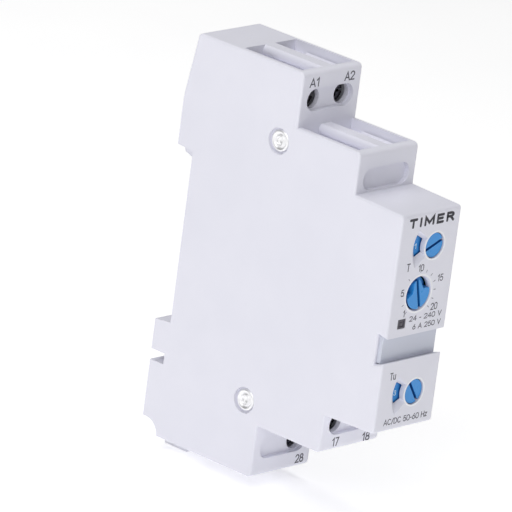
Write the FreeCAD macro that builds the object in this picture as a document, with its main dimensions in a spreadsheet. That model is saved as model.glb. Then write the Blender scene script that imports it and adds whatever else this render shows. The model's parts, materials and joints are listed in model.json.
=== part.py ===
import FreeCAD, Part
import math
import os
import Sketcher

# Modular timer, one 17.5 mm module wide, for a 35 mm top-hat rail.
# Frame: +Z up, the front with the dials faces -Y, the rail is behind at +Y.
# Origin: centre line of the rail, on the face that rests against the rail.
# Every length is in millimetres.

doc = FreeCAD.newDocument("RailTimer")
V = FreeCAD.Vector
R = FreeCAD.Rotation

# --------------------------------------------------------------- dimensions
sheet = doc.addObject("Spreadsheet::Sheet", "Dims")
sheet.Label = "Dims"
DIMS = [
    ("module_width", "17.5", "overall width, one module"),
    ("cover_thick", "1.2", "loose side cover"),
    ("wall_side", "1.25", "moulded side wall"),
    ("body_top", "43.0", "top and bottom of the rear block from the rail centre line"),
    ("top_rear_y", "2.4", "rear edge of the top face"),
    ("block_depth", "26.7", "front of the rear terminal block"),
    ("step_top", "31.55", "top of the front terminal block"),
    ("step_bottom", "31.8", "bottom of the front terminal block"),
    ("shoulder_depth", "44.0", "front of the front terminal block"),
    ("nose_top", "22.9", "top of the nose at the shoulder"),
    ("nose_low", "23.3", "bottom of the nose at the front"),
    ("nose_draft", "0.45", "draft of the nose faces over its length"),
    ("nose_depth", "57.2", "front face of the nose"),
    ("tag_top", "3.3", "upper edge of the tag recess, below the centre line"),
    ("tag_low", "8.5", "lower edge of the tag recess, below the centre line"),
    ("tag_rim", "54.8", "lips of the tag recess in the side walls"),
    ("tag_flare_top", "0.45", "undercut of the recess's upper face"),
    ("tag_flare_low", "0.75", "undercut of the recess's lower face"),
    ("tag_half", "7.97", "half width of the marker tag"),
    ("tag_face", "1.42", "marker tag face behind the front"),
    ("tag_floor", "54.8", "floor of the tag recess"),
        ("back_y", "4.3", "rearmost faces above and below the rail"),
    ("back_top", "30.9", "upper rear face ends here and leans in"),
    ("recess_top", "18.55", "upper end of the rail recess"),
    ("recess_low", "18.2", "lower end of the rail recess"),
    ("gap_top", "25.1", "upper edge of the finger gap behind"),
    ("gap_low", "27.4", "lower edge of the finger gap behind"),
    ("gap_floor", "0.5", "floor of the finger gap"),
    ("heel_low", "39.6", "lower end of the lower rear face"),
    ("heel_rad", "3.3", "hollow at the lower rear corner"),
    ("edge_rad", "1.1", "outer corner radius of the blocks"),
    ("rim_rad", "0.5", "radius along the side outline"),
    ("seat_relief", "0.25", "set-back of the seat face under the two hooks"),
    ("hook_half", "6.9", "half width of the fixed rail hook"),
    ("hook_in", "1.35", "gap for the rail flange"),
    ("hook_tip", "16.65", "lowest point of the fixed hook"),
    ("hook_stop", "17.8", "rail flange stop"),
    ("clip_half", "5.0", "half width of the rail clip plate"),
    ("clip_rib", "3.8", "half width of the rail clip rib and hook"),
    ("clip_front", "0.35", "front face of the clip plate"),
    ("clip_back", "1.55", "rear face of the clip plate"),
    ("clip_rear", "3.4", "rear face of the clip rib"),
    ("clip_catch", "17.8", "catch face below the rail flange"),
    ("clip_tip", "16.4", "tip of the clip hook"),
    ("clip_foot", "45.6", "lowest face of the pull foot"),
    ("clip_play", "0.3", "clearance round the clip"),
    ("spring_rad", "1.0", "clip spring coil radius"),
    ("spring_wire", "0.2", "clip spring wire radius"),
    ("spring_low", "34.35", "spring seat on the housing peg"),
    ("spring_high", "24.0", "spring seat in the clip window"),
    ("screw_x", "4.35", "terminal screws either side of the centre plane"),
    ("row_a", "36.9", "upper rear terminal row height"),
    ("row_b", "25.6", "upper front blank row height"),
    ("row_c", "26.1", "lower front terminal row height"),
    ("row_d", "37.0", "lower rear terminal row height"),
    ("hole_rad", "2.15", "screwdriver hole"),
    ("pill_rad", "2.35", "end radius of the shallow recess round the holes"),
    ("pill_half", "4.45", "half distance between its end centres"),
    ("pill_deep", "1.05", "depth of the shallow recess"),
    ("head_rad", "1.95", "terminal screw head"),
    ("head_thick", "1.6", "terminal screw head thickness"),
    ("head_back", "2.7", "screw head front behind the block front"),
    ("thread_rad", "1.5", "M3 thread"),
    ("thread_play", "0.05", "running clearance of the thread"),
    ("screw_tip", "13.3", "screw tip behind the block front"),
    ("cage_half", "2.9", "half width of a terminal cage"),
    ("cage_wall", "0.8", "cage wall"),
    ("cage_near", "7.1", "cage front face behind the block front"),
    ("cage_nut", "1.8", "threaded front wall of the cage"),
    ("cage_far", "18.1", "cage rear face behind the block front"),
    ("bar_near", "13.35", "busbar front face behind the block front"),
    ("bar_thick", "0.8", "busbar thickness"),
    ("entry_near", "14.1", "wire entry front edge behind the block front"),
    ("entry_far", "17.2", "wire entry rear edge behind the block front"),
    ("entry_half", "1.95", "half width of a wire entry"),
    ("rib_half", "1.35", "half width of the rib between two wire funnels, at the face"),
    ("bar_round", "1.28", "radius of the rib's rounded flanks"),
    ("bar_out", "0.65", "how far the rounded flanks stand out"),
    ("bar_axis", "1.15", "depth of the rounded flanks' axis"),
    ("funnel_deep", "2.3", "wire funnel depth"),
    ("funnel_low", "1.9", "wire funnel depth on the lower shoulder"),
    ("funnel_line", "1.7", "depth at which the outer flank turns inwards"),
    ("funnel_turn", "0.45", "how far it turns inwards"),
    ("funnel_gap", "0.45", "gap between that flank and the cover"),
    ("sel_x", "2.05", "slotted selectors, sideways position"),
    ("sel_a", "14.9", "time range selector height"),
    ("sel_c", "15.95", "transfer time selector, below the centre line"),
    ("sel_head", "2.55", "selector head radius"),
    ("sel_hole", "2.72", "selector hole radius"),
    ("sel_disc", "5.2", "printed disc radius"),
    ("knob_x", "-0.87", "time knob, sideways position"),
    ("knob_z", "5.25", "time knob height"),
    ("knob_rad", "3.25", "time knob radius"),
    ("knob_hole", "3.42", "time knob hole radius"),
    ("knob_mouth", "3.68", "time knob hole radius at the front face"),
    ("stem_rad", "1.5", "knob stem radius"),
    ("stem_play", "0.06", "running clearance of the stems"),
    ("front_thick", "1.2", "front wall behind the dials"),
    ("disc_front", "55.7", "front face of the printed discs"),
    ("disc_back", "54.9", "rear face of the printed discs"),
    ("stem_end", "50.0", "end of the stems"),
    ("rivet_y", "22.4", "rivets behind the seat plane"),
    ("rivet_z", "27.55", "rivets above and below the centre line"),
    ("rivet_head", "2.35", "rivet head radius"),
    ("rivet_shank", "1.5", "rivet shank radius"),
    ("rivet_bore", "0.95", "radius of the dish in each rivet head"),
    ("rivet_sink", "2.75", "sink round a rivet head"),
    ("rivet_deep", "0.75", "sink depth"),
    ("post_rad", "3.2", "rivet posts inside"),
    ("board_face", "5.4", "component face of the main board"),
    ("board_thick", "1.6", "main board thickness"),
]
for row, (alias, value, note) in enumerate(DIMS, 1):
    sheet.set("A%d" % row, alias)
    sheet.set("B%d" % row, value)
    sheet.setAlias("B%d" % row, alias)
    sheet.set("C%d" % row, note)
doc.recompute()
VAL = {alias: float(value) for alias, value, note in DIMS}
WORDS = sorted(VAL, key=len, reverse=True)


def ex(text):
    """A formula in dimension names, as an expression on the sheet."""
    out = []
    word = ""
    for ch in str(text) + " ":
        if ch.isalnum() or ch in "_.":
            word += ch
        else:
            out.append("Dims." + word if word in VAL else word)
            out.append(ch)
            word = ""
    return "".join(out).strip()


def bind(obj, prop, text):
    obj.setExpression(prop, ex(text))


# ------------------------------------------------------------ small helpers
def box(name, x0, x1, y0, y1, z0, z1):
    o = doc.addObject("Part::Box", name)
    for prop, a, b in (("Length", x0, x1), ("Width", y0, y1), ("Height", z0, z1)):
        bind(o, prop, "(%s) - (%s)" % (b, a))
    for prop, a in (("x", x0), ("y", y0), ("z", z0)):
        bind(o, "Placement.Base." + prop, "0 + (%s)" % a)
    return o


TURN = {"X": R(V(0, 1, 0), 90), "Y": R(V(1, 0, 0), -90), "Z": R()}


def rod(name, axis, radius, lo, hi, a, b):
    """Cylinder along an axis from lo to hi; a and b are its other two coordinates."""
    o = doc.addObject("Part::Cylinder", name)
    bind(o, "Radius", radius)
    bind(o, "Height", "(%s) - (%s)" % (hi, lo))
    o.Placement = FreeCAD.Placement(V(0, 0, 0), TURN[axis])
    base = {"X": (lo, a, b), "Y": (a, lo, b), "Z": (a, b, lo)}[axis]
    for prop, t in zip("xyz", base):
        bind(o, "Placement.Base." + prop, "0 + (%s)" % t)
    return o


def cone(name, axis, r0, r1, lo, hi, a, b):
    o = doc.addObject("Part::Cone", name)
    bind(o, "Radius1", r0)
    bind(o, "Radius2", r1)
    bind(o, "Height", "(%s) - (%s)" % (hi, lo))
    o.Placement = FreeCAD.Placement(V(0, 0, 0), TURN[axis])
    base = {"X": (lo, a, b), "Y": (a, lo, b), "Z": (a, b, lo)}[axis]
    for prop, t in zip("xyz", base):
        bind(o, "Placement.Base." + prop, "0 + (%s)" % t)
    return o


def fuse(name, *parts):
    o = doc.addObject("Part::MultiFuse", name)
    o.Shapes = list(parts)
    o.Refine = True
    return o


def cut(name, base, tool):
    o = doc.addObject("Part::Cut", name)
    o.Base, o.Tool = base, tool
    o.Refine = True
    return o


def common(name, base, tool):
    o = doc.addObject("Part::Common", name)
    o.Base, o.Tool = base, tool
    return o


def plane_of(body, role):
    for f in body.Origin.OriginFeatures:
        if f.Role == role:
            return f
    raise RuntimeError("no plane " + role)


def number(text):
    """The value of a formula in dimension names."""
    word, total = "", ""
    for ch in str(text) + " ":
        if ch.isalnum() or ch in "_.":
            word += ch
        else:
            total += repr(VAL[word]) if word in VAL else word
            total += ch
            word = ""
    return value_of(total)


def value_of(text):
    """Adds, subtracts, multiplies and divides plain numbers with brackets."""
    pos = 0
    s = text.replace(" ", "")

    def factor():
        nonlocal pos
        if s[pos] == "-":
            pos += 1
            return -factor()
        if s[pos] == "+":
            pos += 1
            return factor()
        if s[pos] == "(":
            pos += 1
            v = total()
            pos += 1
            return v
        start = pos
        while pos < len(s) and (s[pos].isdigit() or s[pos] == "."):
            pos += 1
        return float(s[start:pos])

    def term():
        nonlocal pos
        v = factor()
        while pos < len(s) and s[pos] in "*/":
            op = s[pos]
            pos += 1
            w = factor()
            v = v * w if op == "*" else v / w
        return v

    def total():
        nonlocal pos
        v = term()
        while pos < len(s) and s[pos] in "+-":
            op = s[pos]
            pos += 1
            w = term()
            v = v + w if op == "+" else v - w
        return v

    return total()


def outline(body, name, role, points, offset):
    """Closed polygon sketch on an origin plane, every corner bound to the sheet."""
    sk = body.newObject("Sketcher::SketchObject", name)
    sk.AttachmentSupport = [(plane_of(body, role), "")]
    sk.MapMode = "FlatFace"
    bind(sk, "AttachmentOffset.Base.z", "0 + (%s)" % offset)
    num = [(number(a), number(b)) for a, b in points]
    n = len(num)
    for i in range(n):
        p, q = num[i], num[(i + 1) % n]
        sk.addGeometry(Part.LineSegment(V(p[0], p[1], 0), V(q[0], q[1], 0)), False)
    for i in range(n):
        sk.addConstraint(Sketcher.Constraint("Coincident", i, 2, (i + 1) % n, 1))
    for i in range(n):
        for kind, k, axis in (("DistanceX", 0, -2), ("DistanceY", 1, -1)):
            if abs(num[i][k]) < 1e-9:
                sk.addConstraint(Sketcher.Constraint("PointOnObject", i, 1, axis))
            else:
                c = sk.addConstraint(Sketcher.Constraint(kind, -1, 1, i, 1, num[i][k]))
                bind(sk, "Constraints[%d]" % c, "0 + (%s)" % points[i][k])
    return sk


def prism(name, plane, points, lo, hi):
    """Polygon in the YZ, XZ or XY plane, padded from lo to hi along the third axis."""
    body = doc.addObject("PartDesign::Body", name)
    offset = {"YZ": lo, "XY": lo, "XZ": "-(%s)" % hi}[plane]
    sk = outline(body, name + "_outline", plane + "_Plane", points, offset)
    pad = body.newObject("PartDesign::Pad", name + "_pad")
    pad.Profile = sk
    bind(pad, "Length", "(%s) - (%s)" % (hi, lo))
    body.Tip = pad
    return body


def round_edges(body, name, radius, keep):
    """Fillet on the edges of a body's tip that keep() picks."""
    doc.recompute()
    tip = body.Tip
    names = ["Edge%d" % (i + 1) for i, e in enumerate(tip.Shape.Edges) if keep(e)]
    f = body.newObject("PartDesign::Fillet", name)
    f.Base = (tip, names)
    bind(f, "Radius", radius)
    body.Tip = f
    doc.recompute()
    return f


parts = []


def keep_part(obj, node):
    obj.Label = node
    parts.append((obj, node))
    return obj


HALF = "module_width / 2"
SEAM = "module_width / 2 - cover_thick"

# --------------------------------------------------------- housing and cover
OUTLINE = [
    ("top_rear_y", "body_top"),
    ("-block_depth", "body_top"),
    ("-block_depth", "step_top"),
    ("-shoulder_depth", "step_top"),
    ("-shoulder_depth", "nose_top"),
    ("-nose_depth", "nose_top - nose_draft"),
    ("-nose_depth", "-tag_top"),
    ("-tag_rim", "-tag_top + tag_flare_top"),
    ("-tag_rim", "-tag_low - tag_flare_low"),
    ("-nose_depth", "-tag_low"),
    ("-nose_depth", "-nose_low"),
    ("-shoulder_depth", "-nose_low - nose_draft"),
    ("-shoulder_depth", "-step_bottom"),
    ("-block_depth", "-step_bottom"),
    ("-block_depth", "-body_top"),
    ("0", "-body_top"),
    ("heel_rad", "-heel_low"),
    ("back_y", "-heel_low"),
    ("back_y", "-gap_low"),
    ("gap_floor", "-gap_low"),
    ("gap_floor", "-gap_top"),
    ("back_y", "-gap_top"),
    ("back_y", "-recess_low - 0.4"),
    ("0", "-recess_low"),
    ("0", "recess_top"),
    ("back_y", "recess_top + 0.35"),
    ("back_y", "back_top"),
]

# Outer corners that are rounded across the whole width: (y, z).
ROUND_AT = [
    (-VAL["block_depth"], VAL["body_top"]),
    (-VAL["shoulder_depth"], VAL["step_top"]),
    (-VAL["shoulder_depth"], -VAL["step_bottom"]),
    (-VAL["block_depth"], -VAL["body_top"]),
    (VAL["top_rear_y"], VAL["body_top"]),
]
NOSE_AT = [
    (-VAL["nose_depth"], VAL["nose_top"] - VAL["nose_draft"]),
    (-VAL["nose_depth"], -VAL["nose_low"]),
]


def along_x_at(spots):
    def keep(e):
        if len(e.Vertexes) != 2:
            return False
        p, q = e.Vertexes[0].Point, e.Vertexes[1].Point
        if abs(p.y - q.y) > 1e-6 or abs(p.z - q.z) > 1e-6:
            return False
        return any(abs(p.y - a) < 1e-3 and abs(p.z - b) < 1e-3 for a, b in spots)

    return keep


def side_rim(x, front_of):
    """Edges of the side outline at x, in front of and around the blocks."""

    def keep(e):
        for v in e.Vertexes:
            if abs(v.Point.x - x) > 1e-6:
                return False
        b = e.BoundBox
        if b.XMax - b.XMin > 1e-6:
            return False
        mid = e.valueAt((e.FirstParameter + e.LastParameter) / 2)
        if mid.y > front_of:
            return False
        return True

    return keep


shell = prism("housing_shell", "YZ", OUTLINE, "-" + HALF, SEAM)
round_edges(shell, "housing_corner", "edge_rad", along_x_at(ROUND_AT))
round_edges(shell, "housing_nose_corner", "edge_rad * 0.7", along_x_at(NOSE_AT))
round_edges(shell, "housing_rim", "rim_rad", side_rim(-VAL["module_width"] / 2, 0.0 - 0.2))

INSIDE = [
    ("1.0", "body_top - 2.4"),
    ("-block_depth + 2.1", "body_top - 2.4"),
    ("-block_depth + 2.1", "step_top - 2.2"),
    ("-shoulder_depth + 2.1", "step_top - 2.2"),
    ("-shoulder_depth + 2.1", "nose_top - 1.5"),
    ("-nose_depth + front_thick", "nose_top - nose_draft - 1.3"),
    ("-nose_depth + front_thick", "-tag_top + 1.2"),
    ("-tag_floor + 1.2", "-tag_top + 1.2"),
    ("-tag_floor + 1.2", "-tag_low - 1.75"),
    ("-nose_depth + front_thick", "-tag_low - 1.75"),
    ("-nose_depth + front_thick", "-nose_low + 1.3"),
    ("-shoulder_depth + 2.1", "-nose_low + 0.9"),
    ("-shoulder_depth + 2.1", "-step_bottom + 2.1"),
    ("-block_depth + 2.1", "-step_bottom + 2.1"),
    ("-block_depth + 2.1", "-body_top + 2.1"),
    ("-1.3", "-body_top + 2.1"),
    ("-1.3", "recess_top + 1.0"),
    ("1.0", "recess_top + 2.4"),
]
hollow = prism("housing_hollow", "YZ", INSIDE, "-" + HALF + " + wall_side", SEAM + " + 1")

tools = [hollow]


def pill(name, y0, y1, z):
    return fuse(name,
                box(name + "_mid", "-pill_half", "pill_half", y0, y1,
                    "(%s) - pill_rad" % z, "(%s) + pill_rad" % z),
                rod(name + "_l", "Y", "pill_rad", y0, y1, "-pill_half", z),
                rod(name + "_r", "Y", "pill_rad", y0, y1, "pill_half", z))


tools.append(pill("pill_a", "-block_depth - 1", "-block_depth + pill_deep", "row_a"))
tools.append(pill("pill_b", "-shoulder_depth - 1", "-shoulder_depth + pill_deep", "row_b"))
tools.append(pill("pill_c", "-shoulder_depth - 1", "-shoulder_depth + pill_deep", "-row_c"))
tools.append(pill("pill_d", "-block_depth - 1", "-block_depth + pill_deep", "-row_d"))

# Terminals: name, sideways position, height, block front, which way the wire comes.
TERMINALS = [
    ("a1", "-screw_x", "row_a", "block_depth", 1),
    ("a2", "screw_x", "row_a", "block_depth", 1),
    ("17", "-screw_x", "-row_c", "shoulder_depth", -1),
    ("18", "screw_x", "-row_c", "shoulder_depth", -1),
    ("28", "screw_x", "-row_d", "block_depth", -1),
]
entries = {"a": [], "b": [], "c": [], "d": []}
for tag, x, z, front, way in TERMINALS:
    tools.append(rod("driver_hole_" + tag, "Y", "hole_rad", "-%s - 1" % front,
                     "-%s + 2.4" % front, x, z))
    far = "entry_far" if front == "block_depth" else "entry_far - 0.2"
    face = {"a": "body_top", "1": "-step_bottom", "2": "-body_top"}[tag[0]]
    lo, hi = ("%s - 3.2" % face, "%s + 1" % face) if way > 0 else ("%s - 1" % face, "%s + 3.2" % face)
    entry = box("wire_entry_" + tag, "(%s) - entry_half" % x, "(%s) + entry_half" % x,
                "-%s + entry_near" % front, "-%s + %s" % (front, far), lo, hi)
    tools.append(entry)
    entries[{"a": "a", "1": "c", "2": "d"}[tag[0]]].append(entry)


# Faces of the four blocks: two wire funnels each. The middle rib between them
# has rounded flanks, and the outer flank turns inwards near the floor. On the
# cover side a narrow gap is left between that flank and the cover.
def block_face(name, face, front, way, deep):
    """way is 1 on a top face and -1 on a bottom face."""
    t = "-" if way > 0 else "+"

    def at(depth):
        return "%s %s (%s)" % (face, t, depth)

    def span(a, b):
        return (at(b), at(a)) if way > 0 else (at(a), at(b))

    near = "-%s + 1.7" % front
    far = "-%s + %s" % (front, {"block_depth": "17.5", "shoulder_depth": "17.3"}[front])
    made = []
    for side, sign in (("l", "-"), ("r", "")):
        edge = {"l": "-" + HALF + " + wall_side", "r": SEAM + " + 1"}[side]
        flank = {"l": "-" + HALF + " + wall_side", "r": SEAM + " - funnel_gap"}[side]
        turn_in = flank + (" + funnel_turn" if side == "l" else " - funnel_turn")
        x0, x1 = (edge, "-rib_half") if side == "l" else ("rib_half", edge)
        lo, hi = span("-1", deep)
        room = box(name + "_room_" + side, x0, x1, near, far, lo, hi)
        bar = rod(name + "_bar_" + side, "Y", "bar_round", near + " - 0.3", far + " + 0.3",
                  sign + "(rib_half + bar_out - bar_round)", at("bar_axis"))
        wedge = prism(name + "_wedge_" + side, "XZ",
                      [(flank, at("funnel_line")), (flank, at(deep + " + 0.1")), (turn_in, at(deep + " + 0.1"))],
                      near + " - 0.3", "-%s + entry_near - 0.25" % front)
        made.append(cut(name + "_funnel_" + side, room, fuse(name + "_solid_" + side, bar, wedge)))
    lo, hi = span("1.5", deep + " + 0.35")
    made.append(box(name + "_gap", SEAM + " - funnel_gap", SEAM + " + 1", near,
                    "-%s + entry_near - 0.25" % front, lo, hi))
    lo, hi = span(deep + " - 0.3", deep + " + 0.7")
    floor = box(name + "_floor", "-" + HALF + " + wall_side - 0.2", SEAM, near + " - 0.4",
                far + " + 0.8", lo, hi)
    floors.append(cut(name + "_floor_cut", floor, fuse(name + "_floor_tools", *(made + entries[name[-1]]))))
    return made


floors = []
tools += block_face("face_a", "body_top", "block_depth", 1, "funnel_deep")
tools += block_face("face_b", "step_top", "shoulder_depth", 1, "funnel_deep")
tools += block_face("face_c", "-step_bottom", "shoulder_depth", -1, "funnel_low")
tools += block_face("face_d", "-body_top", "block_depth", -1, "funnel_deep")

# Holes and windows for the dials.
tools.append(rod("selector_hole_a", "Y", "sel_hole", "-nose_depth - 1", "-nose_depth + front_thick + 0.1", "sel_x", "sel_a"))
tools.append(rod("selector_hole_c", "Y", "sel_hole", "-nose_depth - 1", "-nose_depth + front_thick + 0.1", "sel_x", "-sel_c"))
tools.append(rod("knob_hole_bore", "Y", "knob_hole", "-nose_depth - 1", "-nose_depth + front_thick + 0.1", "knob_x", "knob_z"))
tools.append(cone("knob_hole_mouth", "Y", "knob_mouth", "knob_hole", "-nose_depth - 0.001", "-nose_depth + 0.6", "knob_x", "knob_z"))


def dial_window(name, cz):
    """Tapered sector beside a selector, through which the printed disc is read."""
    cx = VAL["sel_x"]
    y0 = -VAL["nose_depth"]
    deep = VAL["front_thick"]

    def wire(y, r0, r1, a0, a1):
        a0, a1 = math.radians(a0), math.radians(a1)
        am = (a0 + a1) / 2

        def p(r, a):
            return V(cx + r * math.cos(a), y, cz + r * math.sin(a))

        return Part.Wire([
            Part.Arc(p(r1, a0), p(r1, am), p(r1, a1)).toShape(),
            Part.makeLine(p(r1, a1), p(r0, a1)),
            Part.Arc(p(r0, a1), p(r0, am), p(r0, a0)).toShape(),
            Part.makeLine(p(r0, a0), p(r1, a0))])

    r_in = VAL["sel_hole"] + 0.33
    front = wire(y0, r_in, 6.55, 143, 219)
    back = wire(y0 + deep, r_in, 5.05, 151, 205)
    lift = wire(y0 - 0.2, r_in, 6.8, 141.7, 221.3)
    through = wire(y0 + deep + 0.3, r_in, 5.05, 151, 205)
    body = Part.makeLoft([lift, front], True, True).fuse(
        Part.makeLoft([front, back], True, True)).fuse(
        Part.makeLoft([back, through], True, True))
    o = doc.addObject("Part::Feature", name)
    o.Shape = body.removeSplitter()
    return o


tools.append(dial_window("window_a", VAL["sel_a"]))
tools.append(dial_window("window_c", -VAL["sel_c"]))
tools.append(box("lamp_hole", "-5.95", "-3.6", "-nose_depth - 1", "-nose_depth + front_thick + 0.1", "-1.57", "0.45"))

# Rail side: hollow heel, clip channel.
tools.append(rod("heel_hollow", "X", "heel_rad", "-" + HALF + " - 1", HALF + " + 1", "heel_rad", "-heel_low - heel_rad"))
tools.append(box("clip_channel_wide", "-clip_half - clip_play", "clip_half + clip_play",
                 "clip_front - clip_play", "clip_back + clip_play", "-body_top - 1", "-recess_low + 0.6"))
tools.append(box("clip_channel_slot", "-clip_rib - clip_play", "clip_rib + clip_play",
                 "clip_back", "back_y + 1", "-body_top - 1", "-recess_low + 0.6"))

# The seat face is set back a little under the fixed hook and under the clip
# hook, so the rail bears on the flat land between them.
tools.append(box("seat_relief_upper", "-hook_half - 0.3", "hook_half + 0.3", "-seat_relief", "0.5", "hook_tip - 0.1", "recess_top"))
tools.append(box("seat_relief_lower", "-clip_half - clip_play", "clip_half + clip_play", "-seat_relief", "0.5", "-recess_low - 0.6", "-clip_tip + 0.2"))

# Rivet sinks and bores.
for tag, z in (("upper", "rivet_z"), ("lower", "-rivet_z")):
    tools.append(rod("rivet_sink_" + tag, "X", "rivet_sink", "-" + HALF + " - 1", "-" + HALF + " + rivet_deep", "-rivet_y", z))
    tools.append(rod("rivet_bore_" + tag, "X", "rivet_shank + 0.05", "-" + HALF + " - 1", HALF + " + 1", "-rivet_y", z))

adds = [cut("post_" + tag,
            rod("post_solid_" + tag, "X", "post_rad", "-" + HALF + " + 1", SEAM, "-rivet_y", z),
            rod("post_bore_" + tag, "X", "rivet_shank + 0.05", "-" + HALF, SEAM + " + 1", "-rivet_y", z))
        for tag, z in (("upper", "rivet_z"), ("lower", "-rivet_z"))]
adds += floors
adds += [
    prism("fixed_hook", "YZ", [
        ("hook_in", "recess_top + 0.2"), ("hook_in", "hook_tip + 0.1"), ("hook_in + 0.45", "hook_tip"),
        ("back_y - 0.7", "hook_tip + 0.6"), ("back_y", "recess_top + 0.5")], "-hook_half", "hook_half"),
    box("flange_stop", "-hook_half", "hook_half", "-seat_relief - 0.2", "hook_in + 0.1", "hook_stop", "recess_top + 0.2"),
    box("spring_peg", "-1.1", "1.1", "-0.2", "2.6", "-spring_low - 1.0", "-spring_low"),
    box("rib_upper", "-0.5", "0.5", "-block_depth + 2", "-8", "row_a - 3.2", "body_top - 2.3"),
    box("rib_middle", "-0.5", "0.5", "-shoulder_depth + 2", "-25.6", "-step_bottom + 2", "-row_c + 3.1"),
    box("rib_lower", "-0.5", "0.5", "-block_depth + 2", "-8", "-body_top + 2", "-row_d + 3.2"),
]
housing = cut("housing_cut", shell, fuse("housing_tools", *tools))
housing = fuse("housing", housing, *adds)
keep_part(housing, "housing_body")

plate = prism("cover_plate", "YZ", OUTLINE, SEAM, HALF)
round_edges(plate, "cover_corner", "edge_rad", along_x_at(ROUND_AT))
round_edges(plate, "cover_nose_corner", "edge_rad * 0.7", along_x_at(NOSE_AT))
round_edges(plate, "cover_rim", "rim_rad", side_rim(VAL["module_width"] / 2, 0.0 - 0.2))
cover_tools = [rod("cover_heel", "X", "heel_rad", SEAM + " - 1", HALF + " + 1", "heel_rad", "-heel_low - heel_rad")]
for tag, z in (("upper", "rivet_z"), ("lower", "-rivet_z")):
    cover_tools.append(rod("cover_sink_" + tag, "X", "rivet_sink", HALF + " - rivet_deep", HALF + " + 1", "-rivet_y", z))
    cover_tools.append(rod("cover_bore_" + tag, "X", "rivet_shank + 0.05", SEAM + " - 1", HALF + " + 1", "-rivet_y", z))
keep_part(cut("cover", plate, fuse("cover_tools", *cover_tools)), "side_cover")

for tag, z in (("upper", "rivet_z"), ("lower", "-rivet_z")):
    n = "rivet_" + tag
    solid = fuse(n + "_solid",
                 rod(n + "_shank", "X", "rivet_shank", "-" + HALF + " + rivet_deep - 0.1", HALF + " - rivet_deep + 0.1", "-rivet_y", z),
                 cone(n + "_head_l", "X", "rivet_head - 0.35", "rivet_head", "-" + HALF + " + rivet_deep - 0.5", "-" + HALF + " + rivet_deep - 0.2", "-rivet_y", z),
                 rod(n + "_disc_l", "X", "rivet_head", "-" + HALF + " + rivet_deep - 0.2", "-" + HALF + " + rivet_deep", "-rivet_y", z),
                 cone(n + "_head_r", "X", "rivet_head", "rivet_head - 0.35", HALF + " - rivet_deep + 0.2", HALF + " - rivet_deep + 0.5", "-rivet_y", z),
                 rod(n + "_disc_r", "X", "rivet_head", HALF + " - rivet_deep", HALF + " - rivet_deep + 0.2", "-rivet_y", z))
    hole = fuse(n + "_holes",
                rod(n + "_dish_l", "X", "rivet_bore", "-" + HALF, "-" + HALF + " + rivet_deep + 0.3", "-rivet_y", z),
                rod(n + "_dish_r", "X", "rivet_bore", HALF + " - rivet_deep - 0.3", HALF, "-rivet_y", z),
                cone(n + "_flare", "X", "rivet_bore + 0.45", "rivet_bore", "-" + HALF + " + rivet_deep - 0.51", "-" + HALF + " + rivet_deep - 0.1", "-rivet_y", z))
    keep_part(cut(n + "_cut", solid, hole), n)

# ------------------------------------------------------------------ rail clip
clip = fuse(
    "clip_solid",
    box("clip_plate", "-clip_half", "clip_half", "clip_front", "clip_back", "-body_top - 0.1", "-clip_catch"),
    prism("clip_hook", "YZ", [
        ("clip_back - 0.05", "-clip_catch - 1.0"), ("clip_back - 0.05", "-clip_tip - 0.15"),
        ("clip_back + 0.35", "-clip_tip"), ("clip_rear", "-clip_tip - 1.9"),
        ("clip_rear", "-heel_low + 0.3"), ("clip_rear - 0.6", "-heel_low - 0.3"),
        ("clip_back - 0.05", "-heel_low - 0.3")], "-clip_rib", "clip_rib"),
    box("clip_neck", "-4.0", "4.0", "clip_front", "clip_back", "-clip_foot", "-body_top"),
    box("clip_foot_bar", "-4.0", "4.0", "-4.6", "clip_back", "-clip_foot", "-body_top - 0.4"))
clip_tools = fuse(
    "clip_tools",
    box("clip_window", "-1.5", "1.5", "clip_front - 1", "clip_rear + 1", "-spring_low - 1.7", "-spring_high"),
    box("driver_slot", "-2.2", "2.2", "-3.7", "-2.5", "-clip_foot - 1", "-body_top"))
keep_part(cut("clip", clip, clip_tools), "rail_clip")

helix = doc.addObject("Part::Helix", "spring_path")
bind(helix, "Radius", "spring_rad")
bind(helix, "Pitch", "(spring_low - spring_high - 2 * spring_wire - 0.1) / 8")
bind(helix, "Height", "spring_low - spring_high - 2 * spring_wire - 0.1")
bind(helix, "Placement.Base.y", "(clip_front + clip_rear) / 2 - 0.3")
bind(helix, "Placement.Base.z", "-spring_low + spring_wire + 0.05")
ring = doc.addObject("Part::Circle", "spring_section")
bind(ring, "Radius", "spring_wire")
ring.Placement = FreeCAD.Placement(V(0, 0, 0), R(V(1, 0, 0), 90))
bind(ring, "Placement.Base.x", "0 + spring_rad")
bind(ring, "Placement.Base.y", "(clip_front + clip_rear) / 2 - 0.3")
bind(ring, "Placement.Base.z", "-spring_low + spring_wire + 0.05")
doc.recompute()
sweep = doc.addObject("Part::Sweep", "spring_sweep")
sweep.Sections = [ring]
sweep.Spine = (helix, ["Edge%d" % (i + 1) for i in range(len(helix.Shape.Edges))])
sweep.Solid = True
sweep.Frenet = True
keep_part(sweep, "clip_spring")

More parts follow.
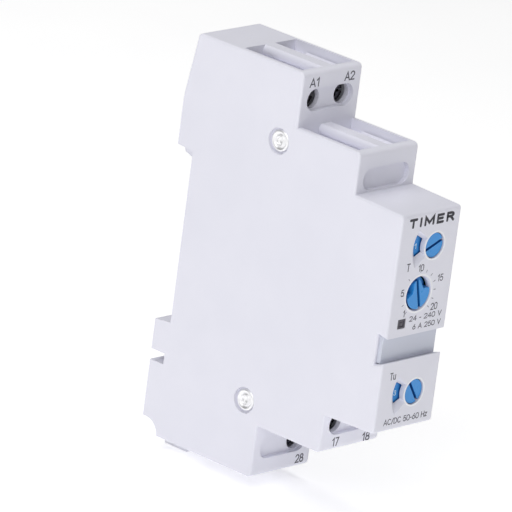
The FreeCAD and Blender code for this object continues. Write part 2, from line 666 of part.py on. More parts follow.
# ------------------------------------------------------------- front details
keep_part(box("tag", "-tag_half", "tag_half", "-nose_depth + tag_face", "-tag_floor - 0.05",
              "-tag_low - 0.36", "-tag_top + 0.18"), "marker_tag")
lens = fuse("lens_solid",
            box("lens_front", "-5.9", "-3.65", "-nose_depth + 0.05", "-nose_depth + front_thick + 0.05", "-1.52", "0.40"),
            box("lens_flange", "-6.5", "-3.05", "-nose_depth + front_thick", "-nose_depth + front_thick + 0.5", "-2.05", "1.0"))
keep_part(lens, "led_window")
lamp = fuse("lamp_solid",
            rod("lamp_body", "Y", "0.95", "-nose_depth + front_thick + 0.7", "-nose_depth + front_thick + 3.2", "-4.78", "-0.56"),
            box("lamp_lead_1", "-4.98", "board_face", "-nose_depth + front_thick + 2.6", "-nose_depth + front_thick + 3.1", "-1.26", "-0.86"),
            box("lamp_lead_2", "-4.98", "board_face", "-nose_depth + front_thick + 2.6", "-nose_depth + front_thick + 3.1", "-0.26", "0.14"))
keep_part(lamp, "indicator_led")


def slot_points(cx, cz, length, width, angle):
    c, s = math.cos(math.radians(angle)), math.sin(math.radians(angle))
    out = []
    for u, v in ((-1, -1), (1, -1), (1, 1), (-1, 1)):
        du, dv = u * length / 2, v * width / 2
        out.append(("%s + (%.6f)" % (cx, du * c - dv * s), "%s + (%.6f)" % (cz, du * s + dv * c)))
    return out


def selector(node, cz, angle):
    solid = fuse(node + "_solid",
                 rod(node + "_disc", "Y", "sel_disc", "-disc_front", "-disc_back", "sel_x", cz),
                 rod(node + "_head", "Y", "sel_head", "-nose_depth + 0.3", "-disc_back", "sel_x", cz),
                 rod(node + "_stem", "Y", "stem_rad", "-disc_back - 0.1", "-stem_end", "sel_x", cz))
    slot = prism(node + "_slot", "XZ", slot_points("sel_x", cz, 6.0, 0.62, angle), "-nose_depth - 1", "-nose_depth + 1.1")
    keep_part(cut(node + "_cut", solid, slot), node)


selector("time_range_selector", "sel_a", 21.0)
selector("transfer_time_selector", "-sel_c", 124.0)

# Pointer knob: a broad arrow on a round base, with a driver slot along it.
POINTER = 105.0
pc, ps = math.cos(math.radians(POINTER)), math.sin(math.radians(POINTER))
arrow = []
for u, v in ((2.95, -0.4), (2.95, 0.4), (2.5, 0.86), (0.55, 1.5), (-0.12, 3.6), (-3.7, 3.6),
             (-3.7, -3.6), (-0.12, -3.6), (0.55, -1.5), (2.5, -0.86)):
    arrow.append(("knob_x + (%.6f)" % (u * pc + v * ps), "knob_z + (%.6f)" % (u * ps - v * pc)))
pointer = common("knob_pointer",
                 prism("knob_arrow", "XZ", arrow, "-nose_depth + 0.05", "-disc_front + 0.2"),
                 rod("knob_round", "Y", "knob_rad", "-nose_depth", "-disc_front + 0.2", "knob_x", "knob_z"))
knob = fuse("knob_solid", pointer,
            rod("knob_base", "Y", "knob_rad", "-disc_front + 0.1", "-disc_back", "knob_x", "knob_z"),
            rod("knob_stem", "Y", "stem_rad", "-disc_back - 0.1", "-stem_end", "knob_x", "knob_z"))
keep_part(cut("knob_cut", knob,
              prism("knob_slot", "XZ", slot_points("knob_x", "knob_z", 8.0, 0.7, POINTER), "-nose_depth - 1", "-nose_depth + 1.3")),
          "time_knob")


def rotary(node, x, z, left, right, low, high, pins):
    """Sealed rotary part behind a dial: case with a bore for the stem, pins to the board."""
    case = [box(node + "_case", left, right, "-53.7", "-48.6", low, high)]
    for i, pz in enumerate(pins):
        case.append(box("%s_pin_%d" % (node, i + 1), "(%s) - 0.3" % right, "board_face", "-50.4", "-49.8", "%s - 0.3" % pz, "%s + 0.3" % pz))
    keep_part(cut(node + "_cut", fuse(node + "_solid", *case),
                  rod(node + "_bore", "Y", "stem_rad + stem_play", "-54.5", "-49.7", x, z)), node)


rotary("range_switch", "sel_x", "sel_a", "-2.6", "4.6", "10.2", "19.6", ("11.5", "13.6", "15.7", "17.8"))
rotary("time_potentiometer", "knob_x", "knob_z", "-4.6", "2.8", "0.9", "9.6", ("2.6", "5.2", "7.8"))
rotary("transfer_switch", "sel_x", "-sel_c", "-2.6", "4.6", "-20.4", "-11.2", ("-18.6", "-16.7", "-14.8", "-12.9"))

# ------------------------------------------------------------------ terminals
for tag, x, z, front, way in TERMINALS:
    n = "screw_" + tag
    s, t = ("+", "-") if way > 0 else ("-", "+")
    solid = fuse(n + "_solid",
                 rod(n + "_head", "Y", "head_rad", "-%s + head_back" % front, "-%s + head_back + head_thick" % front, x, z),
                 rod(n + "_shank", "Y", "thread_rad", "-%s + head_back + head_thick - 0.1" % front, "-%s + screw_tip" % front, x, z))
    cross = fuse(n + "_drive",
                 box(n + "_slot", "(%s) - 2.2" % x, "(%s) + 2.2" % x, "-%s + head_back - 1" % front, "-%s + head_back + 0.9" % front, "(%s) - 0.3" % z, "(%s) + 0.3" % z),
                 box(n + "_cross", "(%s) - 0.3" % x, "(%s) + 0.3" % x, "-%s + head_back - 1" % front, "-%s + head_back + 1.1" % front, "(%s) - 1.15" % z, "(%s) + 1.15" % z))
    keep_part(cut(n + "_cut", solid, cross), n)

    n = "cage_" + tag
    outer = box(n + "_outer", "(%s) - cage_half" % x, "(%s) + cage_half" % x, "-%s + cage_near" % front, "-%s + cage_far" % front, "(%s) - cage_half" % z, "(%s) + cage_half" % z)
    inner = box(n + "_inner", "(%s) - cage_half + cage_wall" % x, "(%s) + cage_half - cage_wall" % x,
                "-%s + cage_near + cage_nut" % front, "-%s + cage_far - cage_wall" % front, "(%s) - 5" % z, "(%s) + 5" % z)
    thread = rod(n + "_thread", "Y", "thread_rad + thread_play", "-%s + cage_near - 1" % front, "-%s + cage_near + cage_nut + 0.5" % front, x, z)
    keep_part(cut(n + "_cut", outer, fuse(n + "_tools", inner, thread)), n)

    n = "busbar_" + tag

    def up(v):
        """A height above the row, towards the wire side."""
        return "(%s) %s (%s)" % (z, s, v)

    def bar(name, x0, x1, a, b):
        lo, hi = (up(a), up(b)) if way > 0 else (up(b), up(a))
        return box(name, x0, x1, "-%s + bar_near" % front, "-%s + bar_near + bar_thick" % front, lo, hi)

    pieces = [bar(n + "_tongue", "(%s) - 1.8" % x, "(%s) + 1.8" % x, "-3.6", "2.5")]
    if x == "screw_x":
        pieces.append(bar(n + "_leg", "(%s) - 0.9" % x, "board_face", "-7.6", "-3.5"))
    else:
        pieces.append(bar(n + "_leg", "(%s) - 0.9" % x, "(%s) + 0.9" % x, "-10.6", "-3.5"))
        pieces.append(bar(n + "_link", "(%s) - 0.9" % x, "board_face", "-10.6", "-9.1"))
    keep_part(fuse(n + "_sum", *pieces), n)

# ---------------------------------------------------------------- electronics
board = prism("board", "YZ", [
    ("-2.0", "31.5"), ("-18.0", "31.5"), ("-18.0", "21.0"), ("-53.0", "21.0"),
    ("-53.0", "-1.5"), ("-51.9", "-1.5"), ("-51.9", "-10.3"), ("-53.0", "-10.3"),
    ("-53.0", "-21.0"), ("-18.0", "-21.0"), ("-18.0", "-32.5"), ("-2.0", "-32.5")],
    "board_face", "board_face + board_thick")
keep_part(board, "main_board")


def chip(node, x0, x1, y0, y1, z0, z1, lead=None):
    case = [box(node + "_case", x0, x1, y0, y1, z0, z1)]
    if lead:
        for i, (a, b) in enumerate(lead):
            case.append(box("%s_lead_%d" % (node, i + 1), "(%s) - 0.2" % x1, "board_face", "(%s) - 0.3" % a, "(%s) + 0.3" % a, "(%s) - 0.3" % b, "(%s) + 0.3" % b))
    keep_part(fuse(node + "_sum", *case) if lead else case[0], node)


chip("relay_1", "-5.1", "5.2", "-45.6", "-35.6", "-10.5", "9.8",
     [("-44.6", "-8.5"), ("-36.6", "-8.5"), ("-44.6", "7.8"), ("-36.6", "7.8")])
chip("relay_2", "-5.1", "5.2", "-34.0", "-24.0", "-10.5", "9.8",
     [("-33.0", "-8.5"), ("-25.0", "-8.5"), ("-33.0", "7.8"), ("-25.0", "7.8")])
chip("supply_capacitor", "-3.6", "5.2", "-20.5", "-14.5", "5.0", "18.0", [("-17.5", "6.5"), ("-17.5", "16.5")])
chip("surge_varistor", "-4.2", "4.2", "-9.6", "-5.8", "12.0", "21.0", [("-7.7", "14.0"), ("-7.7", "19.0")])
chip("bridge_rectifier", "2.8", "5.2", "-10.0", "-4.0", "2.0", "8.5", [("-9.0", "2.8"), ("-5.0", "2.8"), ("-9.0", "7.7"), ("-5.0", "7.7")])
chip("microcontroller", "3.8", "5.2", "-34.0", "-27.0", "12.0", "19.0", [("-33.5", "13.0"), ("-33.5", "18.0"), ("-27.5", "13.0"), ("-27.5", "18.0")])
keep_part(fuse("smooth_cap_sum",
               rod("smooth_cap_can", "X", "4.0", "-5.6", "5.2", "-16.0", "-6.0"),
               rod("smooth_cap_lead_1", "X", "0.3", "5.0", "board_face", "-17.3", "-6.0"),
               rod("smooth_cap_lead_2", "X", "0.3", "5.0", "board_face", "-14.7", "-6.0")), "smoothing_capacitor")
keep_part(fuse("inductor_sum",
               rod("inductor_foot", "X", "3.6", "4.2", "5.2", "-7.0", "-14.0"),
               rod("inductor_coil", "X", "2.9", "-1.0", "4.3", "-7.0", "-14.0"),
               rod("inductor_top", "X", "3.6", "-2.0", "-0.9", "-7.0", "-14.0"),
               rod("inductor_lead", "X", "0.3", "5.0", "board_face", "-7.0", "-14.0")), "supply_inductor")
keep_part(fuse("fuse_resistor_sum",
               box("fuse_lead_1", "2.4", "board_face", "-5.0", "-4.4", "22.4", "23.0"),
               rod("fuse_resistor_body", "Z", "1.6", "22.4", "30.4", "2.4", "-4.7"),
               box("fuse_lead_2", "2.4", "board_face", "-5.0", "-4.4", "29.8", "30.4")), "fuse_resistor")

# -------------------------------------------------------------------- output
doc.recompute()
bad = [o.Name for o in doc.Objects if "Invalid" in o.State or "Error" in o.State]
if bad:
    raise SystemExit("failed objects: " + ", ".join(bad))
os.makedirs("parts", exist_ok=True)
for obj, node in parts:
    shape = obj.Shape
    if shape.isNull() or not shape.isValid() or not shape.Solids:
        raise SystemExit("bad shape: " + node)
    if obj.Label != node:
        raise SystemExit("label taken: " + node)
    shape.exportStep("parts/%s.step" % node)
    b = shape.BoundBox
    print("%-24s solids %d  volume %9.2f  x %.2f %.2f  y %.2f %.2f  z %.2f %.2f" % (
        node, len(shape.Solids), shape.Volume, b.XMin, b.XMax, b.YMin, b.YMax, b.ZMin, b.ZMax))
print("nodes", len(parts))
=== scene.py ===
import bpy, bmesh, json, math
from mathutils import Matrix, Vector, Quaternion


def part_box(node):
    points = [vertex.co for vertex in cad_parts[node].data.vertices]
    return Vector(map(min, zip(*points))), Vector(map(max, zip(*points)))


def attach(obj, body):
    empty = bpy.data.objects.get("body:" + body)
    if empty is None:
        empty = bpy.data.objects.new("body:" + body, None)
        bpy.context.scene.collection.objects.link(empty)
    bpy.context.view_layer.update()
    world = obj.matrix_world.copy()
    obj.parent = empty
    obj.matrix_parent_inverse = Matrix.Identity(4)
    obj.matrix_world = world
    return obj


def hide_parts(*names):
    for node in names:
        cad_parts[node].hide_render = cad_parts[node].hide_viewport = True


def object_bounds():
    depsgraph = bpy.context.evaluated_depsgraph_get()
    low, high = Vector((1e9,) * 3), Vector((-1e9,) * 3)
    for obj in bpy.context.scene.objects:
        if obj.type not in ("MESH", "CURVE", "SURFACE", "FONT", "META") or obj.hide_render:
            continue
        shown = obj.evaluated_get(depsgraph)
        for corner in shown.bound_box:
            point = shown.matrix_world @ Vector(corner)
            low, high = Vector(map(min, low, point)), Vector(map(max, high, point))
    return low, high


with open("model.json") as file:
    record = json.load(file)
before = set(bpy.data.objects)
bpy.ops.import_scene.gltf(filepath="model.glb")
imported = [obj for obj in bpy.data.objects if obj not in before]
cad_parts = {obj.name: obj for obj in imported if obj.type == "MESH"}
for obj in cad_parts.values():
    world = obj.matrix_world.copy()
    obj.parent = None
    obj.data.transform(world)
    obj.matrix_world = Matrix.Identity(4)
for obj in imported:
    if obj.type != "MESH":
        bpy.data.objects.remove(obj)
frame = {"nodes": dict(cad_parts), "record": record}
cad_lo, cad_hi = [Vector(v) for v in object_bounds()]
MM = 0.001

# ---------------------------------------------------------------- positions
# The nose front and the side faces come from the imported solids.
h_lo, h_hi = [Vector(v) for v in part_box("housing_body")]
c_lo, c_hi = [Vector(v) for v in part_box("side_cover")]
NOSE_Y = h_lo.y                      # front of the nose
SIDE_X = h_lo.x                      # moulded side
COVER_X = c_hi.x                     # covered side


def centre(node):
    lo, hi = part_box(node)
    return (Vector(lo) + Vector(hi)) / 2


# ------------------------------------------------------------ material tools
def new_material(name):
    m = bpy.data.materials.new(name)
    m.use_nodes = True
    nt = m.node_tree
    nt.nodes.clear()
    out = nt.nodes.new("ShaderNodeOutputMaterial")
    bsdf = nt.nodes.new("ShaderNodeBsdfPrincipled")
    nt.links.new(bsdf.outputs[0], out.inputs[0])
    return m, nt, bsdf


def coords(nt, scale=1.0, stretch=(1, 1, 1)):
    """Object coordinates in millimetres times scale."""
    tc = nt.nodes.new("ShaderNodeTexCoord")
    mp = nt.nodes.new("ShaderNodeMapping")
    mp.inputs["Scale"].default_value = [1000 * scale * s for s in stretch]
    nt.links.new(tc.outputs["Object"], mp.inputs["Vector"])
    return mp.outputs[0]


def noise(nt, vec, scale, detail=3.0, rough=0.55):
    n = nt.nodes.new("ShaderNodeTexNoise")
    n.inputs["Scale"].default_value = scale
    n.inputs["Detail"].default_value = detail
    n.inputs["Roughness"].default_value = rough
    nt.links.new(vec, n.inputs["Vector"])
    return n.outputs[0]


def remap(nt, value, lo, hi, a, b):
    r = nt.nodes.new("ShaderNodeMapRange")
    r.inputs["From Min"].default_value = lo
    r.inputs["From Max"].default_value = hi
    r.inputs["To Min"].default_value = a
    r.inputs["To Max"].default_value = b
    nt.links.new(value, r.inputs["Value"])
    return r.outputs[0]


def mix(nt, factor, a, b):
    """Colour a to b by factor; a and b are colours or sockets."""
    m = nt.nodes.new("ShaderNodeMix")
    m.data_type = "RGBA"
    if hasattr(factor, "is_output"):
        nt.links.new(factor, m.inputs["Factor"])
    else:
        m.inputs["Factor"].default_value = factor
    for sock, v in ((m.inputs[6], a), (m.inputs[7], b)):
        if hasattr(v, "is_output"):
            nt.links.new(v, sock)
        else:
            sock.default_value = (*v, 1)
    return m.outputs[2]


def math_node(nt, op, a, b=0.0, clamp=False):
    m = nt.nodes.new("ShaderNodeMath")
    m.operation = op
    m.use_clamp = clamp
    for i, v in enumerate((a, b)):
        if hasattr(v, "is_output"):
            nt.links.new(v, m.inputs[i])
        else:
            m.inputs[i].default_value = v
    return m.outputs[0]


def bump(nt, bsdf, height, strength, distance, normal=None):
    b = nt.nodes.new("ShaderNodeBump")
    b.inputs["Strength"].default_value = strength
    b.inputs["Distance"].default_value = distance
    nt.links.new(height, b.inputs["Height"])
    if normal is not None:
        nt.links.new(normal, b.inputs["Normal"])
    nt.links.new(b.outputs[0], bsdf.inputs["Normal"])
    return b.outputs[0]


def edge_mask(nt, radius, lo=0.01, hi=0.25):
    """1 on sharp edges, 0 on flats: how far the rounded normal is from the true one."""
    bv = nt.nodes.new("ShaderNodeBevel")
    bv.samples = 4
    bv.inputs["Radius"].default_value = radius
    ge = nt.nodes.new("ShaderNodeNewGeometry")
    dot = nt.nodes.new("ShaderNodeVectorMath")
    dot.operation = "DOT_PRODUCT"
    nt.links.new(bv.outputs[0], dot.inputs[0])
    nt.links.new(ge.outputs["Normal"], dot.inputs[1])
    return remap(nt, dot.outputs["Value"], 1.0 - lo, 1.0 - hi, 0.0, 1.0)


def moulded(name, base, rough=0.42, grain=0.55, grain_mm=0.16, warm=0.012, spec=0.45, coat=0.0,
            edge=0.10, subsurface=0.0, relief=6e-6, drift=1.0, edge_wear_and_highlight=None, shade=None):
    """Fine-eroded moulded plastic: slow colour drift, matt grain, edges lifted lighter (partly rubbed wear, partly
    painted highlight), and painted crevice shade when shade is given.
    """
    m, nt, p = new_material(name)
    v = coords(nt)
    slow = noise(nt, v, 0.055, 2.0)
    cloud = noise(nt, v, 0.5, 4.0)
    grainy = noise(nt, v, 1.0 / grain_mm, 2.0, 0.6)
    dark = [c * (1 - 0.045 * drift) for c in base]
    light = [min(1, c * (1 + warm * drift * k)) for c, k in zip(base, (1.6, 1.2, 0.4))]
    col = mix(nt, remap(nt, slow, 0.35, 0.65, 0, 1), dark, light)
    col = mix(nt, remap(nt, cloud, 0.45, 0.75, 0, 0.35), col, [c * (1 - 0.035 * drift) for c in base])
    col = mix(nt, remap(nt, grainy, 0.55, 0.8, 0, 0.25), col, [c * 0.93 for c in base])
    # Edges are lifted toward a lighter colour: partly rubbed wear, partly a painted highlight on the rounded edges.
    if edge:
        em = edge_mask(nt, 0.22 * MM)
        em = math_node(nt, "MULTIPLY", em, remap(nt, cloud, 0.35, 0.6, 0.3, 1.0))
        col = mix(nt, math_node(nt, "MULTIPLY", em, edge), col, edge_wear_and_highlight or [min(1, c * 1.22 + 0.02) for c in base])
    # Painted shade: ambient occlusion darkens crevices and slots toward the shade colour.
    if shade:
        ao = nt.nodes.new("ShaderNodeAmbientOcclusion")
        ao.samples = 8
        ao.inputs["Distance"].default_value = 1.1 * MM
        col = mix(nt, remap(nt, ao.outputs["AO"], 0.35, 0.85, 1.0, 0.0), col, shade)
    nt.links.new(col, p.inputs["Base Color"])
    r = remap(nt, cloud, 0.3, 0.7, rough - 0.05, rough + 0.06)
    r = math_node(nt, "ADD", r, remap(nt, grainy, 0.3, 0.7, -0.03, 0.03))
    nt.links.new(r, p.inputs["Roughness"])
    p.inputs["Specular IOR Level"].default_value = spec
    p.inputs["IOR"].default_value = 1.5
    if coat:
        p.inputs["Coat Weight"].default_value = coat
        p.inputs["Coat Roughness"].default_value = 0.12
    if subsurface:
        p.inputs["Subsurface Weight"].default_value = subsurface
        p.inputs["Subsurface Radius"].default_value = (0.6, 0.6, 0.8)
        p.inputs["Subsurface Scale"].default_value = 0.6 * MM
    fine = noise(nt, v, 1.0 / grain_mm * 1.7, 3.0, 0.65)
    height = math_node(nt, "ADD", fine, math_node(nt, "MULTIPLY", cloud, 0.8))
    bump(nt, p, height, grain, relief)
    return m


def metal(name, base, rough=0.28, brushed=(1, 1, 1), stain_and_shade=(0.6, 0.58, 0.55), stain_and_shade_amount=0.25, scratch=0.35):
    """Plated metal: fine drawn lines, dull stain patches (painted shade on the screws), painted highlights on the
    edges.
    """
    m, nt, p = new_material(name)
    v = coords(nt)
    vb = coords(nt, 1.0, brushed)
    lines = noise(nt, vb, 9.0, 4.0, 0.7)
    cloud = noise(nt, v, 0.9, 4.0, 0.6)
    em = edge_mask(nt, 0.12 * MM)
    col = mix(nt, remap(nt, cloud, 0.42, 0.7, 0, stain_and_shade_amount), base, stain_and_shade)
    # Painted highlight: edges lifted toward a lighter colour.
    col = mix(nt, math_node(nt, "MULTIPLY", em, 0.5), col, [min(1, c * 1.15 + 0.03) for c in base])
    nt.links.new(col, p.inputs["Base Color"])
    p.inputs["Metallic"].default_value = 1.0
    r = math_node(nt, "ADD", remap(nt, cloud, 0.3, 0.7, rough - 0.08, rough + 0.12), remap(nt, lines, 0.3, 0.7, -0.05, 0.05))
    nt.links.new(r, p.inputs["Roughness"])
    bump(nt, p, lines, scratch, 5e-6)
    return m


def printed(name, base):
    """Pad-printed ink: matt, slightly uneven cover."""
    m, nt, p = new_material(name)
    v = coords(nt)
    patch = noise(nt, v, 2.4, 4.0, 0.6)
    col = mix(nt, remap(nt, patch, 0.35, 0.7, 0.0, 1.0), base, [min(1, c * 1.5 + 0.02) for c in base])
    nt.links.new(col, p.inputs["Base Color"])
    nt.links.new(remap(nt, patch, 0.3, 0.7, 0.5, 0.68), p.inputs["Roughness"])
    bump(nt, p, noise(nt, v, 9.0, 2.0), 0.3, 3e-6)
    return m


# ---------------------------------------------------------------- materials
MAT = {
    "housing_plastic": moulded("housing_plastic", (0.800, 0.800, 0.885), drift=0.5),
    "cover_plastic": moulded("cover_plastic", (0.800, 0.800, 0.885), drift=0.5),
    "clip_plastic": moulded("clip_plastic", (0.80, 0.80, 0.86), rough=0.36, grain_mm=0.22),
    # The tag's strong edge lift paints highlights on its edges.
    "tag_plastic": moulded("tag_plastic", (0.62, 0.645, 0.74), rough=0.42, grain=0.3, grain_mm=0.3, edge=0.6, drift=0.3),
    "lamp_lens": moulded("lamp_lens", (0.040, 0.034, 0.055), rough=0.18, grain=0.15, grain_mm=0.6, coat=0.4, edge=0.12),
    "led_epoxy": moulded("led_epoxy", (0.45, 0.04, 0.03), rough=0.2, grain=0.1, coat=0.4, subsurface=0.2),
    # The dial's strong light-blue edge lift is a painted highlight on the pointer's edges; its shade colour is painted
    # shade in the slot and crevices.
    "dial_plastic": moulded("dial_plastic", (0.036, 0.300, 0.760), rough=0.32, grain=0.35, grain_mm=0.22, spec=0.5,
                            edge=0.9, edge_wear_and_highlight=(0.10, 0.50, 0.93), shade=(0.008, 0.105, 0.40)),
    "switch_plastic": moulded("switch_plastic", (0.035, 0.036, 0.042), rough=0.45),
    "relay_case": moulded("relay_case", (0.022, 0.024, 0.034), rough=0.5, grain=0.8),
    "film_capacitor_case": moulded("film_capacitor_case", (0.60, 0.36, 0.05), rough=0.4),
    "varistor_coating": moulded("varistor_coating", (0.03, 0.11, 0.36), rough=0.28, grain=0.8, grain_mm=0.5, relief=2e-5),
    "chip_plastic": moulded("chip_plastic", (0.018, 0.018, 0.019), rough=0.6, grain=0.9, grain_mm=0.1),
    "ferrite": moulded("ferrite", (0.055, 0.052, 0.050), rough=0.62, grain=1.0, grain_mm=0.12),
    "resistor_coating": moulded("resistor_coating", (0.20, 0.40, 0.30), rough=0.3, grain=0.4),
    "rivet_metal": metal("rivet_metal", (0.94, 0.94, 0.95), rough=0.40, stain_and_shade=(0.8, 0.8, 0.82), stain_and_shade_amount=0.2, scratch=0.2),
    "spring_steel": metal("spring_steel", (0.50, 0.50, 0.52), rough=0.3),
    # screw_steel is set near black, with dark stain patches: painted shade of the screws deep in the terminal holes.
    "screw_steel": metal("screw_steel", (0.13, 0.13, 0.145), rough=0.24, stain_and_shade=(0.05, 0.05, 0.06), stain_and_shade_amount=0.6),
    "cage_steel": metal("cage_steel", (0.62, 0.62, 0.64), rough=0.32, brushed=(0.25, 1, 1)),
    "busbar_metal": metal("busbar_metal", (0.78, 0.66, 0.42), rough=0.3, brushed=(1, 0.2, 1), stain_and_shade=(0.5, 0.36, 0.2)),
    "capacitor_can": metal("capacitor_can", (0.70, 0.71, 0.74), rough=0.24, brushed=(1, 1, 0.15)),
}


def board_material():
    """Solder resist over copper: tracks show through as lighter, raised bands."""
    m, nt, p = new_material("board_laminate")
    v = coords(nt)
    vor = nt.nodes.new("ShaderNodeTexVoronoi")
    vor.distance = "CHEBYCHEV"
    vor.feature = "F1"
    vor.inputs["Scale"].default_value = 0.34
    nt.links.new(v, vor.inputs["Vector"])
    track = remap(nt, vor.outputs["Distance"], 0.44, 0.47, 0.0, 1.0)
    weave = noise(nt, v, 2.2, 3.0)
    col = mix(nt, track, (0.008, 0.085, 0.036), (0.016, 0.135, 0.056))
    col = mix(nt, remap(nt, weave, 0.4, 0.7, 0.0, 0.4), col, (0.012, 0.060, 0.030))
    nt.links.new(col, p.inputs["Base Color"])
    nt.links.new(remap(nt, weave, 0.3, 0.7, 0.22, 0.36), p.inputs["Roughness"])
    bump(nt, p, track, 0.6, 3e-5)
    return m


MAT["board_laminate"] = board_material()
INK = printed("print_grey", (0.060, 0.058, 0.078))
INK_BLACK = printed("print_dark", (0.022, 0.020, 0.030))
INK_LIGHT = printed("print_light", (0.50, 0.68, 0.86))
INK_FAINT = printed("print_soft", (0.145, 0.145, 0.185))

slot_of = {s["node"]: s["material_slot"] for s in frame["record"]["subparts"]}
for node, obj in frame["nodes"].items():
    mat = MAT[slot_of[node]]
    obj.data.materials.clear()
    obj.data.materials.append(mat)


# Small moulded radii on the dials, the tag and the clip.
for node, width in (("time_knob", 0.16), ("time_range_selector", 0.10), ("transfer_time_selector", 0.10),
                    ("marker_tag", 0.10), ("rail_clip", 0.12)):
    mod = frame["nodes"][node].modifiers.new("soft_edges", "BEVEL")
    mod.width = width * MM
    mod.segments = 2
    mod.limit_method = "ANGLE"
    mod.angle_limit = math.radians(40)
    mod.harden_normals = False


# ------------------------------------------------------------------- pieces
def make(name, verts, faces, material, body, smooth=None):
    me = bpy.data.meshes.new(name)
    me.from_pydata([tuple(v) for v in verts], [], faces)
    me.validate()
    o = bpy.data.objects.new(name, me)
    bpy.context.scene.collection.objects.link(o)
    bm = bmesh.new()
    bm.from_mesh(me)
    bmesh.ops.recalc_face_normals(bm, faces=bm.faces)
    bm.to_mesh(me)
    bm.free()
    me.materials.append(material)
    if smooth is not None:
        for f in me.polygons:
            f.use_smooth = True
        me.set_sharp_from_angle(angle=math.radians(smooth))
    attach(o, body)
    return o


# Single-line characters on a grid 1 high: each stroke is a chain of points, and
# an arc is (centre, radii, start and end angle).
def arc(cx, cy, rx, ry, a0, a1, n=10):
    return [(cx + rx * math.cos(math.radians(a0 + (a1 - a0) * i / n)),
             cy + ry * math.sin(math.radians(a0 + (a1 - a0) * i / n))) for i in range(n + 1)]


GLYPHS = {
    "0": (0.56, [arc(0.28, 0.72, 0.28, 0.28, 0, 180) + arc(0.28, 0.28, 0.28, 0.28, 180, 360) + [(0.56, 0.72)]]),
    "1": (0.34, [[(0.02, 0.76), (0.26, 1.0), (0.26, 0.0)]]),
    "2": (0.56, [arc(0.28, 0.72, 0.27, 0.28, 170, -38) + [(0.0, 0.0), (0.56, 0.0)]]),
    "3": (0.54, [arc(0.26, 0.76, 0.25, 0.24, 160, -80, 12) + [(0.2, 0.53)], arc(0.26, 0.27, 0.28, 0.27, 85, -160, 14)]),
    "4": (0.58, [[(0.44, 0.0), (0.44, 1.0), (0.0, 0.3), (0.58, 0.3)]]),
    "5": (0.56, [[(0.5, 1.0), (0.1, 1.0), (0.04, 0.52)] + arc(0.27, 0.32, 0.28, 0.32, 130, -155, 14)]),
    "6": (0.56, [[(0.42, 1.0), (0.06, 0.46)] + arc(0.28, 0.3, 0.27, 0.3, 150, 510, 20)]),
    "7": (0.52, [[(0.0, 1.0), (0.52, 1.0), (0.16, 0.0)]]),
    "8": (0.56, [arc(0.28, 0.76, 0.23, 0.24, -90, 270, 18), arc(0.28, 0.26, 0.28, 0.26, 90, 450, 18)]),
    "9": (0.56, [[(0.14, 0.0), (0.50, 0.54)] + arc(0.28, 0.7, 0.27, 0.3, -30, 330, 20)]),
    "A": (0.68, [[(0.0, 0.0), (0.34, 1.0), (0.68, 0.0)], [(0.12, 0.32), (0.56, 0.32)]]),
    "C": (0.64, [arc(0.34, 0.5, 0.34, 0.5, 42, 318, 18)]),
    "D": (0.60, [[(0.0, 0.0), (0.0, 1.0)] + arc(0.22, 0.5, 0.38, 0.5, 90, -90, 14) + [(0.0, 0.0)]]),
    "E": (0.52, [[(0.52, 1.0), (0.0, 1.0), (0.0, 0.0), (0.52, 0.0)], [(0.0, 0.52), (0.46, 0.52)]]),
    "H": (0.60, [[(0.0, 0.0), (0.0, 1.0)], [(0.6, 0.0), (0.6, 1.0)], [(0.0, 0.5), (0.6, 0.5)]]),
    "I": (0.04, [[(0.02, 0.0), (0.02, 1.0)]]),
    "M": (0.78, [[(0.0, 0.0), (0.0, 1.0), (0.39, 0.22), (0.78, 1.0), (0.78, 0.0)]]),
    "R": (0.58, [[(0.0, 0.0), (0.0, 1.0), (0.3, 1.0)] + arc(0.3, 0.76, 0.26, 0.24, 80, -90, 10) + [(0.0, 0.52)],
                 [(0.3, 0.52), (0.58, 0.0)]]),
    "T": (0.60, [[(0.0, 1.0), (0.6, 1.0)], [(0.3, 1.0), (0.3, 0.0)]]),
    "V": (0.62, [[(0.0, 1.0), (0.31, 0.0), (0.62, 1.0)]]),
    "u": (0.44, [[(0.0, 0.7), (0.0, 0.26)] + arc(0.21, 0.24, 0.21, 0.24, 190, 330, 8) + [(0.44, 0.3)], [(0.44, 0.7), (0.44, 0.0)]]),
    "z": (0.42, [[(0.0, 0.68), (0.42, 0.68), (0.0, 0.0), (0.42, 0.0)]]),
    "-": (0.30, [[(0.0, 0.42), (0.3, 0.42)]]),
    ".": (0.06, [[(0.03, 0.0), (0.03, 0.06)]]),
    "/": (0.36, [[(0.0, -0.05), (0.36, 1.05)]]),
    " ": (0.26, []),
}


def clean_chain(pts, low=2e-6):
    out = [pts[0]]
    for q in pts[1:]:
        if (q - out[-1]).length > low:
            out.append(q)
    return out


